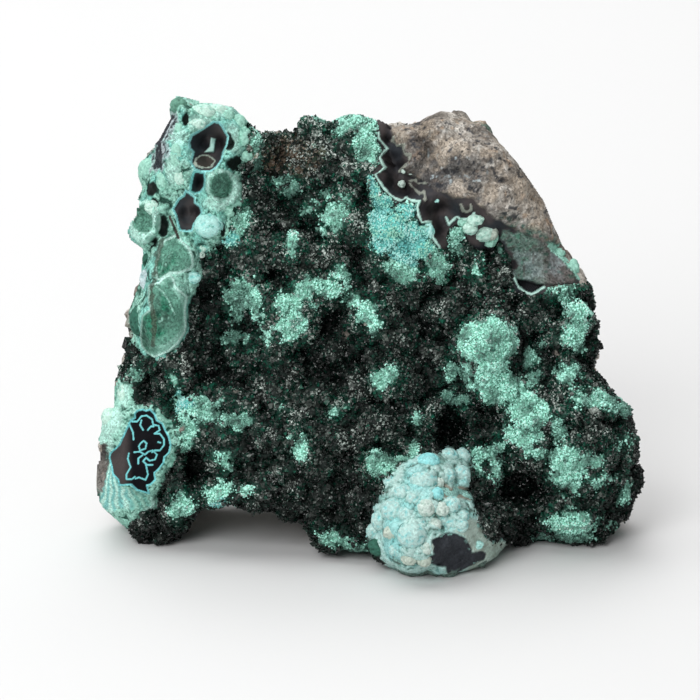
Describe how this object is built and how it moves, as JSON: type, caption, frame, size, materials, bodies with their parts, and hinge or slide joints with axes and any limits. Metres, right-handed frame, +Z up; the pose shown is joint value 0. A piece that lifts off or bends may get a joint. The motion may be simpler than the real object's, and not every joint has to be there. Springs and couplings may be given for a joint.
{
  "type": "mineral specimen",
  "caption": "Malachite specimen: a dark green crystal crust with mint and pale blue growths on brown rock, standing on its own feet.",
  "frame": {"origin": "on the floor, under the middle of the stone's bounding box", "axes": "+Z up, -Y out of the crystal face towards the viewer, +X to the viewer's right"},
  "size_m": [0.0906, 0.0598, 0.0739],
  "materials": {
    "malachite": "sparkling dark green mineral crust"
  },
  "bodies": {
    "root": {"malachite_specimen": "malachite"}
  },
  "joints": []
}
